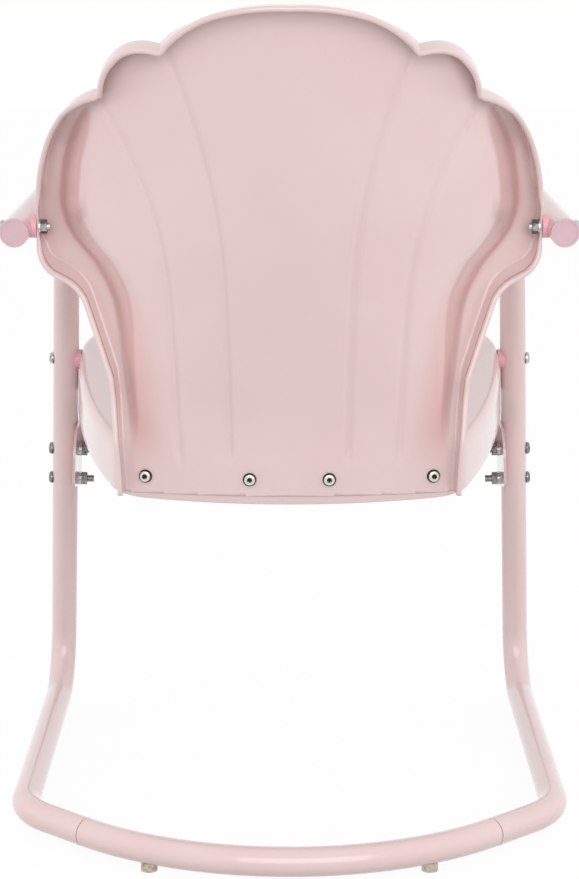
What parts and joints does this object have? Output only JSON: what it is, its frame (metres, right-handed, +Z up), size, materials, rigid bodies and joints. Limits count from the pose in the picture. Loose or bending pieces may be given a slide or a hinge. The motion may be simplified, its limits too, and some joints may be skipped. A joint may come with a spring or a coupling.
{
  "type": "spring lawn chair",
  "caption": "Retro metal lawn chair with a scalloped shell back and a stamped seat pan on springing bent-tube side frames joined by a bowed rear base tube.",
  "frame": {"origin": "on the floor, at the middle of the chair's outline seen from above", "axes": "+Z up, -Y the way the sitter faces, +X the sitter's left"},
  "size_m": [0.5976, 0.6649, 0.8631],
  "materials": {
    "powder_coat": "smooth glossy powder coat",
    "steel": "zinc-plated",
    "spacer_plastic": "moulded",
    "plug_plastic": "moulded",
    "glide_metal": "turned, bare"
  },
  "bodies": {
    "base": {"left_base_rail": "powder_coat", "right_base_rail": "powder_coat", "left_front_bend": "powder_coat", "right_front_bend": "powder_coat", "rear_cross_tube": "powder_coat", "left_joint_sleeve": "steel", "right_joint_sleeve": "steel", "rear_glides": "glide_metal", "front_glides": "glide_metal", "joint_screws": "steel", "front_glide_screws": "steel"},
    "seat_frame": {"left_leg_and_arm": "powder_coat", "right_leg_and_arm": "powder_coat", "back_shell": "powder_coat", "seat_pan": "powder_coat", "leg_brace": "powder_coat", "seat_side_bolts": "steel", "seat_side_washers": "steel", "seat_side_nuts": "steel", "arm_bolts": "steel", "arm_washers": "steel", "wing_nuts": "steel", "brace_bolts": "steel", "brace_washers": "steel", "brace_nuts": "steel", "back_bolts": "steel", "back_washers": "steel", "back_nuts": "steel", "seat_side_spacers": "spacer_plastic", "arm_spacers": "spacer_plastic", "left_arm_plug": "plug_plastic", "right_arm_plug": "plug_plastic"}
  },
  "joints": [
    {"name": "frame_flex", "type": "hinge", "parent": "base", "child": "seat_frame", "pos_m": [0, -0.263, 0.044], "axis": [-1, 0, 0], "range_deg": [-1.5, 4], "stiffness_Nm_per_rad": 4500, "springref_deg": -0.21, "deforming": ["left_front_bend", "right_front_bend"]}
  ]
}
